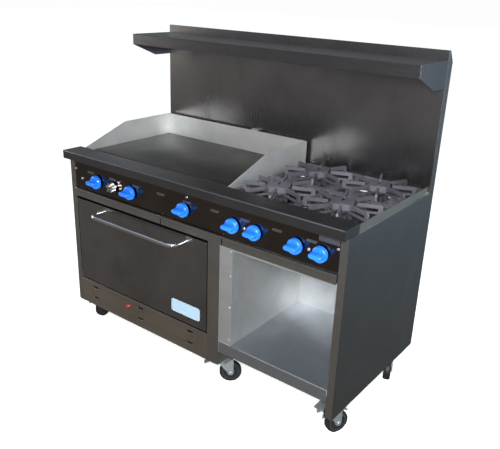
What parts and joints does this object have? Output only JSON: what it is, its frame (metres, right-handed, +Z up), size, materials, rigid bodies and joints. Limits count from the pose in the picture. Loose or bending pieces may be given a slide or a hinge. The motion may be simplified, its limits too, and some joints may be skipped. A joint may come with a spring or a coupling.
{
  "type": "commercial gas range",
  "caption": "Freestanding stainless steel gas range on casters with griddle, open burners, oven, open cabinet, backguard and high shelf.",
  "frame": {"origin": "centre of the bounding box's underside, on the floor under the casters", "axes": "+X to the operator's right, +Y to the back, +Z up"},
  "size_m": [1.524, 0.8424, 1.477],
  "materials": {
    "stainless_steel": "brushed stainless steel sheet",
    "polished_steel": "bright rolled stainless steel sheet",
    "galvanised_steel": "galvanised sheet",
    "griddle_steel": "ground plate steel",
    "pipe_steel": "black pipe",
    "zinc_steel": "bright zinc plating",
    "chrome": "polished chrome plating",
    "grate_iron": "bare grey casting",
    "burner_iron": "bare grey casting",
    "oven_enamel": "porcelain enamel",
    "painted_frame": "black paint",
    "valve_brass": "machined brass",
    "blue_plastic": "moulded, glossy",
    "red_plastic": "moulded, glossy",
    "label_plate": "anodised, blank",
    "badge": "plain two-tone plate",
    "caster_rubber": "matte"
  },
  "bodies": {
    "range_body": {"base_frame": "painted_frame", "left_side_panel": "stainless_steel", "right_side_panel": "stainless_steel", "rear_panel": "galvanised_steel", "front_frame": "stainless_steel", "kick_panel": "stainless_steel", "control_panel": "polished_steel", "front_rail": "stainless_steel", "name_plates": "label_plate", "screws": "zinc_steel", "gas_manifold": "pipe_steel", "gas_controls": "valve_brass", "pipe_burners": "burner_iron", "griddle_plate": "griddle_steel", "griddle_splash": "stainless_steel", "burner_well": "galvanised_steel", "burner_heads": "burner_iron", "backguard": "stainless_steel", "high_shelf": "stainless_steel", "oven_liner": "oven_enamel", "oven_rack": "zinc_steel", "cabinet_liner": "galvanised_steel", "cabinet_floor": "galvanised_steel", "caster_plates": "zinc_steel"},
    "oven_door": {"oven_door_skin": "polished_steel", "oven_door_liner": "oven_enamel", "door_handle": "chrome", "door_badge": "badge"},
    "knob_griddle_left": {"knob_griddle_left": "blue_plastic"},
    "knob_griddle_middle": {"knob_griddle_middle": "blue_plastic"},
    "knob_griddle_right": {"knob_griddle_right": "blue_plastic"},
    "knob_burner_front_left": {"knob_burner_front_left": "blue_plastic"},
    "knob_burner_rear_left": {"knob_burner_rear_left": "blue_plastic"},
    "knob_burner_front_right": {"knob_burner_front_right": "blue_plastic"},
    "knob_burner_rear_right": {"knob_burner_rear_right": "blue_plastic"},
    "oven_dial": {"oven_dial": "chrome"},
    "ignition_button": {"ignition_button": "red_plastic"},
    "grate_front_left": {"grate_front_left": "grate_iron"},
    "grate_front_right": {"grate_front_right": "grate_iron"},
    "grate_rear_left": {"grate_rear_left": "grate_iron"},
    "grate_rear_right": {"grate_rear_right": "grate_iron"},
    "crumb_tray": {"crumb_tray": "stainless_steel"},
    "grease_drawer": {"grease_drawer": "stainless_steel"},
    "burner_tray": {"burner_tray": "stainless_steel"},
    "caster_fork_front_left": {"caster_fork_front_left": "zinc_steel"},
    "caster_wheel_front_left": {"caster_wheel_front_left": "caster_rubber"},
    "caster_brake_front_left": {"caster_brake_front_left": "zinc_steel"},
    "caster_fork_front_middle": {"caster_fork_front_middle": "zinc_steel"},
    "caster_wheel_front_middle": {"caster_wheel_front_middle": "caster_rubber"},
    "caster_brake_front_middle": {"caster_brake_front_middle": "zinc_steel"},
    "caster_fork_front_right": {"caster_fork_front_right": "zinc_steel"},
    "caster_wheel_front_right": {"caster_wheel_front_right": "caster_rubber"},
    "caster_brake_front_right": {"caster_brake_front_right": "zinc_steel"},
    "caster_fork_rear_left": {"caster_fork_rear_left": "zinc_steel"},
    "caster_wheel_rear_left": {"caster_wheel_rear_left": "caster_rubber"},
    "caster_fork_rear_middle": {"caster_fork_rear_middle": "zinc_steel"},
    "caster_wheel_rear_middle": {"caster_wheel_rear_middle": "caster_rubber"},
    "caster_fork_rear_right": {"caster_fork_rear_right": "zinc_steel"},
    "caster_wheel_rear_right": {"caster_wheel_rear_right": "caster_rubber"}
  },
  "joints": [
    {"name": "oven_door_hinge", "type": "hinge", "parent": "range_body", "child": "oven_door", "pos_m": [0, -0.32175, 0.286], "axis": [1, 0, 0], "range_deg": [0, 90]},
    {"name": "knob_griddle_left_turn", "type": "hinge", "parent": "range_body", "child": "knob_griddle_left", "pos_m": [-0.565, -0.34375, 0.806], "axis": [0, 1, 0], "range_deg": [0, 90]},
    {"name": "knob_griddle_middle_turn", "type": "hinge", "parent": "range_body", "child": "knob_griddle_middle", "pos_m": [-0.338, -0.34375, 0.806], "axis": [0, 1, 0], "range_deg": [0, 90]},
    {"name": "knob_griddle_right_turn", "type": "hinge", "parent": "range_body", "child": "knob_griddle_right", "pos_m": [-0.014, -0.34375, 0.806], "axis": [0, 1, 0], "range_deg": [0, 90]},
    {"name": "knob_burner_front_left_turn", "type": "hinge", "parent": "range_body", "child": "knob_burner_front_left", "pos_m": [0.25075, -0.34375, 0.806], "axis": [0, 1, 0], "range_deg": [0, 90]},
    {"name": "knob_burner_rear_left_turn", "type": "hinge", "parent": "range_body", "child": "knob_burner_rear_left", "pos_m": [0.35875, -0.34375, 0.806], "axis": [0, 1, 0], "range_deg": [0, 90]},
    {"name": "knob_burner_front_right_turn", "type": "hinge", "parent": "range_body", "child": "knob_burner_front_right", "pos_m": [0.54825, -0.34375, 0.806], "axis": [0, 1, 0], "range_deg": [0, 90]},
    {"name": "knob_burner_rear_right_turn", "type": "hinge", "parent": "range_body", "child": "knob_burner_rear_right", "pos_m": [0.65625, -0.34375, 0.806], "axis": [0, 1, 0], "range_deg": [0, 90]},
    {"name": "oven_dial_turn", "type": "hinge", "parent": "range_body", "child": "oven_dial", "pos_m": [-0.452, -0.34375, 0.806], "axis": [0, 1, 0], "range_deg": [0, 270]},
    {"name": "ignition_button_push", "type": "slide", "parent": "range_body", "child": "ignition_button", "axis": [0, 1, 0], "range_m": [0, 0.006], "stiffness_N_per_m": 400, "springref_m": -0.002},
    {"name": "grate_front_left_lift", "type": "slide", "parent": "range_body", "child": "grate_front_left", "axis": [0, 0, 1], "range_m": [0, 0.12]},
    {"name": "grate_front_right_lift", "type": "slide", "parent": "range_body", "child": "grate_front_right", "axis": [0, 0, 1], "range_m": [0, 0.12]},
    {"name": "grate_rear_left_lift", "type": "slide", "parent": "range_body", "child": "grate_rear_left", "axis": [0, 0, 1], "range_m": [0, 0.12]},
    {"name": "grate_rear_right_lift", "type": "slide", "parent": "range_body", "child": "grate_rear_right", "axis": [0, 0, 1], "range_m": [0, 0.12]},
    {"name": "crumb_tray_slide", "type": "slide", "parent": "range_body", "child": "crumb_tray", "axis": [0, -1, 0], "range_m": [0, 0.45]},
    {"name": "grease_drawer_slide", "type": "slide", "parent": "range_body", "child": "grease_drawer", "axis": [0, -1, 0], "range_m": [0, 0.45]},
    {"name": "burner_tray_slide", "type": "slide", "parent": "range_body", "child": "burner_tray", "axis": [0, -1, 0], "range_m": [0, 0.45]},
    {"name": "caster_front_left_swivel", "type": "hinge", "parent": "range_body", "child": "caster_fork_front_left", "pos_m": [-0.71, -0.26775, 0.115], "axis": [0, 0, 1], "continuous": true},
    {"name": "caster_front_left_roll", "type": "hinge", "parent": "caster_fork_front_left", "child": "caster_wheel_front_left", "pos_m": [-0.71625, -0.2323, 0.05], "axis": [-0.9848, -0.1736, 0], "continuous": true},
    {"name": "caster_front_left_brake_press", "type": "hinge", "parent": "caster_fork_front_left", "child": "caster_brake_front_left", "pos_m": [-0.71695, -0.22836, 0.1066], "axis": [-0.9848, -0.1736, 0], "range_deg": [0, 12]},
    {"name": "caster_front_middle_swivel", "type": "hinge", "parent": "range_body", "child": "caster_fork_front_middle", "pos_m": [0.15, -0.26775, 0.115], "axis": [0, 0, 1], "continuous": true},
    {"name": "caster_front_middle_roll", "type": "hinge", "parent": "caster_fork_front_middle", "child": "caster_wheel_front_middle", "pos_m": [0.17758, -0.24461, 0.05], "axis": [-0.6428, 0.766, 0], "continuous": true},
    {"name": "caster_front_middle_brake_press", "type": "hinge", "parent": "caster_fork_front_middle", "child": "caster_brake_front_middle", "pos_m": [0.11936, -0.29346, 0.1066], "axis": [0.6428, -0.766, 0], "range_deg": [0, 12]},
    {"name": "caster_front_right_swivel", "type": "hinge", "parent": "range_body", "child": "caster_fork_front_right", "pos_m": [0.71, -0.26775, 0.115], "axis": [0, 0, 1], "continuous": true},
    {"name": "caster_front_right_roll", "type": "hinge", "parent": "caster_fork_front_right", "child": "caster_wheel_front_right", "pos_m": [0.72521, -0.23512, 0.05], "axis": [-0.9063, 0.4226, 0], "continuous": true},
    {"name": "caster_front_right_brake_press", "type": "hinge", "parent": "caster_fork_front_right", "child": "caster_brake_front_right", "pos_m": [0.7269, -0.2315, 0.1066], "axis": [-0.9063, 0.4226, 0], "range_deg": [0, 12]},
    {"name": "caster_rear_left_swivel", "type": "hinge", "parent": "range_body", "child": "caster_fork_rear_left", "pos_m": [-0.71, 0.27425, 0.115], "axis": [0, 0, 1], "continuous": true},
    {"name": "caster_rear_left_roll", "type": "hinge", "parent": "caster_fork_rear_left", "child": "caster_wheel_rear_left", "pos_m": [-0.71625, 0.2388, 0.05], "axis": [0.9848, -0.1736, 0], "continuous": true},
    {"name": "caster_rear_middle_swivel", "type": "hinge", "parent": "range_body", "child": "caster_fork_rear_middle", "pos_m": [0.15, 0.27425, 0.115], "axis": [0, 0, 1], "continuous": true},
    {"name": "caster_rear_middle_roll", "type": "hinge", "parent": "caster_fork_rear_middle", "child": "caster_wheel_rear_middle", "pos_m": [0.168, 0.24307, 0.05], "axis": [0.866, 0.5, 0], "continuous": true},
    {"name": "caster_rear_right_swivel", "type": "hinge", "parent": "range_body", "child": "caster_fork_rear_right", "pos_m": [0.71, 0.27425, 0.115], "axis": [0, 0, 1], "continuous": true},
    {"name": "caster_rear_right_roll", "type": "hinge", "parent": "caster_fork_rear_right", "child": "caster_wheel_rear_right", "pos_m": [0.72231, 0.24042, 0.05], "axis": [0.9397, 0.342, 0], "continuous": true}
  ]
}
